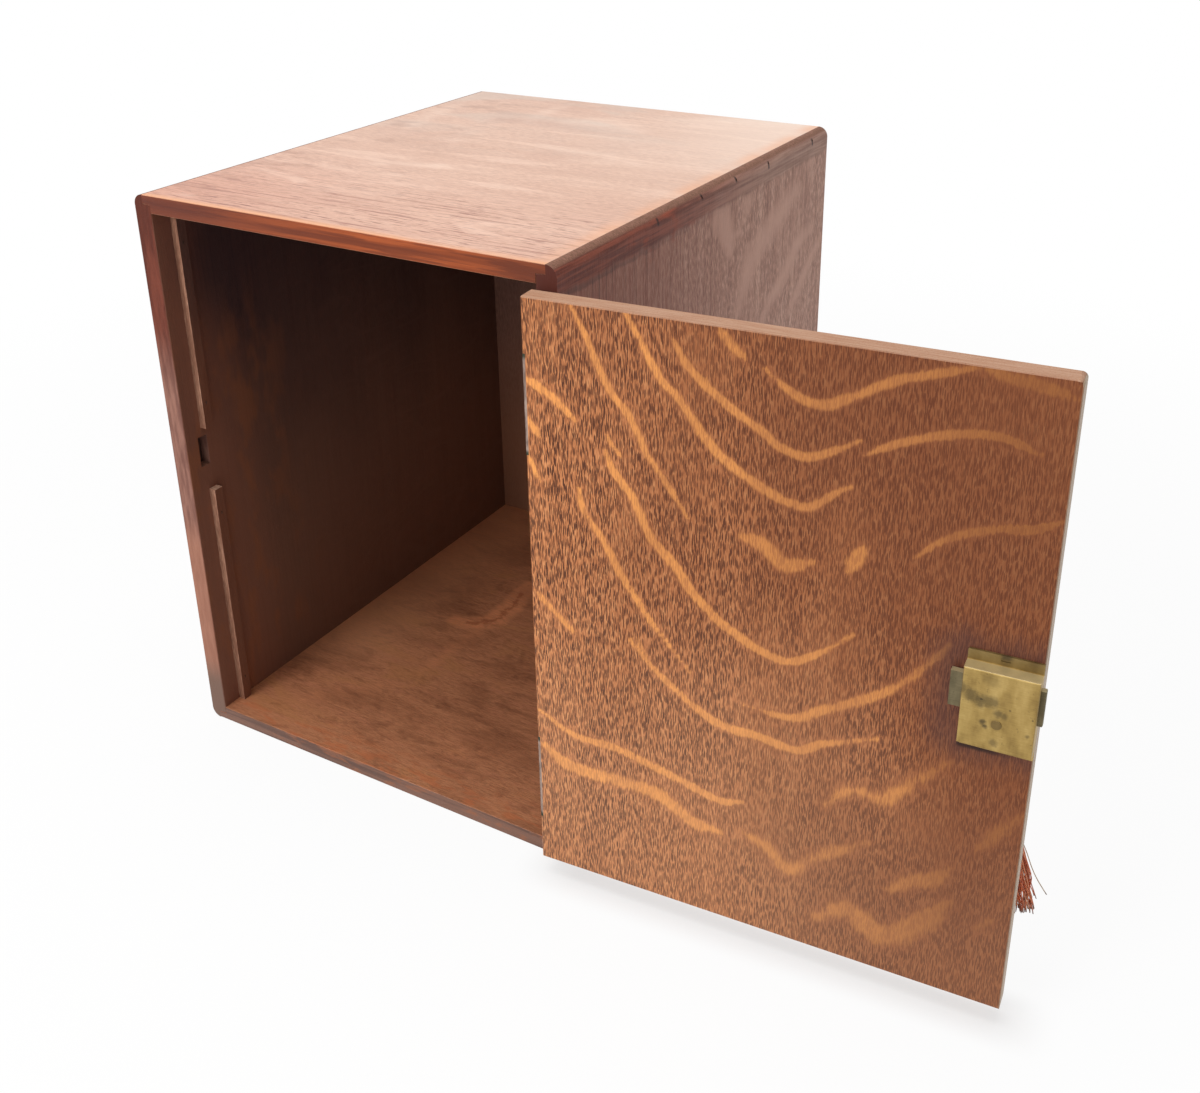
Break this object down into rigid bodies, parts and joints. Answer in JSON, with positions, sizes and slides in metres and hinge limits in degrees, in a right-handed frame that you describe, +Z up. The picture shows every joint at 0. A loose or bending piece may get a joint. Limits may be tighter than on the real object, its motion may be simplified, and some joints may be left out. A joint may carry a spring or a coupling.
{
  "type": "tabletop cupboard box",
  "caption": "Small oak cupboard box for a table: lap-jointed case, one inset door on butt hinges, a brass cupboard lock with a sliding bolt, and a key with a hanging thread tassel.",
  "frame": {"origin": "middle of the case's underside", "axes": "+Z up, the opening faces -Y, and the door is hinged on the +X side"},
  "size_m": [0.5026, 0.3323, 0.34],
  "materials": {
    "oak": "waxed and darkened quarter-sawn oak",
    "brass": "dull aged brass",
    "steel": "dull grey steel",
    "thread": "frayed copper-coloured silk thread"
  },
  "bodies": {
    "case": {"left_side": "oak", "right_side": "oak", "top_board": "oak", "bottom_board": "oak", "back_panel": "oak", "upper_stop_strip": "oak", "lower_stop_strip": "oak", "stop_strip_pins": "steel", "joint_pins": "steel", "back_panel_pins": "steel", "upper_hinge_case_leaf": "brass", "lower_hinge_case_leaf": "brass", "upper_hinge_pin": "steel", "lower_hinge_pin": "steel", "case_hinge_screws": "steel"},
    "door": {"door_panel": "oak", "upper_hinge_door_leaf": "brass", "lower_hinge_door_leaf": "brass", "door_hinge_screws": "steel", "lock_back_plate": "brass", "lock_cap": "brass", "lock_screws": "brass", "lock_drill_pin": "steel", "keyhole_escutcheon": "brass"},
    "bolt": {"lock_bolt": "brass", "bolt_back_spring": "steel"},
    "key": {"key": "steel"},
    "tassel": {"tassel_loop": "thread", "tassel_head": "thread", "tassel_binding": "thread", "tassel_skirt": "thread"}
  },
  "joints": [
    {"name": "door_hinge", "type": "hinge", "parent": "case", "child": "door", "pos_m": [0.12225, -0.1607, 0.17], "axis": [0, 0, 1], "range_deg": [-184.66, 5.34]},
    {"name": "key_turn", "type": "hinge", "parent": "door", "child": "key", "pos_m": [0.34849, -0.14396, 0.17275], "axis": [-0.0812, 0.9967, 0], "range_deg": [0, 60]},
    {"name": "bolt_slide", "type": "slide", "parent": "door", "child": "bolt", "axis": [0.9967, 0.0812, 0], "range_m": [0, 0.006]},
    {"name": "tassel_hang", "type": "hinge", "parent": "key", "child": "tassel", "pos_m": [0.35248, -0.11605, 0.16193], "axis": [-0.0812, 0.9967, 0], "range_deg": [-60, 0]}
  ],
  "couplings": [
    {"joint": "bolt_slide", "follows": "key_turn", "m_per_rad": 0.0057295},
    {"joint": "tassel_hang", "follows": "key_turn", "ratio": -1}
  ]
}
